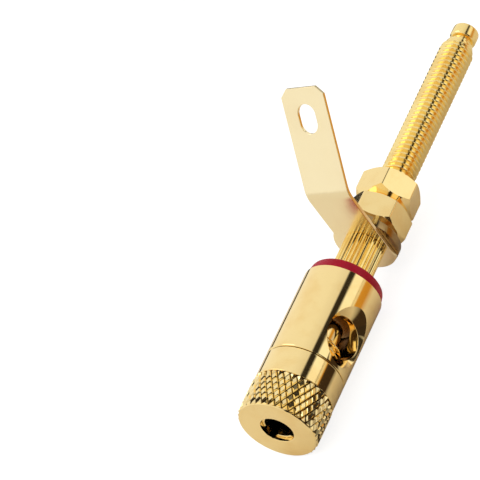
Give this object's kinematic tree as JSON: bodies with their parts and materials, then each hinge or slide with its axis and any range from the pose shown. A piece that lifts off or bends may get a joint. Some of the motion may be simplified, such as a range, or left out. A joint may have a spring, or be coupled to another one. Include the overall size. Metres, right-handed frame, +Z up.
{
  "type": "binding post",
  "caption": "Metal binding post: knurled screw knob with a plug socket, clamp sleeve with a cross hole for wire, coloured ring, splined shank, threaded stud, solder lug, lock washer and nuts.",
  "frame": {"origin": "centre of the panel seat: on the post's axis, at the rear face of the coloured ring", "axes": "+Y along the post from the knob to the stud's tip, X along the wire hole across the sleeve, +Z up on the side where the lug stands"},
  "size_m": [0.0118, 0.0727, 0.0297],
  "materials": {
    "gold_plate": "bright polished gold plate over brass",
    "contact_brass": "plated spring brass",
    "pale_plate": "pale satin gold plate",
    "ring_plastic": "glossy crimson plastic"
  },
  "bodies": {
    "post": {"post_body": "gold_plate", "colour_ring": "ring_plastic"},
    "liner": {"socket_liner": "contact_brass"},
    "knob": {"clamp_knob": "gold_plate"},
    "lug": {"solder_lug": "pale_plate"},
    "washer": {"lock_washer": "pale_plate"},
    "first_nut": {"inner_nut": "gold_plate"},
    "second_nut": {"outer_nut": "gold_plate"}
  },
  "joints": [
    {"name": "knob_travel", "type": "slide", "parent": "post", "child": "liner", "axis": [0, -1, 0], "range_m": [0, 0.003]},
    {"name": "knob_turn", "type": "hinge", "parent": "liner", "child": "knob", "pos_m": [0, -0.02, 0], "axis": [0, -1, 0], "range_deg": [0, 1080]},
    {"name": "lug_swivel", "type": "hinge", "parent": "post", "child": "lug", "pos_m": [0, 0.00685, 0], "axis": [0, 1, 0], "continuous": true},
    {"name": "washer_travel", "type": "slide", "parent": "post", "child": "washer", "axis": [0, 1, 0], "range_m": [0, 0.01]},
    {"name": "inner_nut_turn", "type": "hinge", "parent": "washer", "child": "first_nut", "pos_m": [0, 0.0108, 0], "axis": [0, 1, 0], "range_deg": [0, 4500]},
    {"name": "outer_nut_travel", "type": "slide", "parent": "washer", "child": "second_nut", "axis": [0, 1, 0], "range_m": [0, 0.0145]}
  ],
  "couplings": [
    {"joint": "knob_travel", "follows": "knob_turn", "m_per_rad": 0.00015915},
    {"joint": "washer_travel", "follows": "inner_nut_turn", "m_per_rad": 0.00012732}
  ]
}
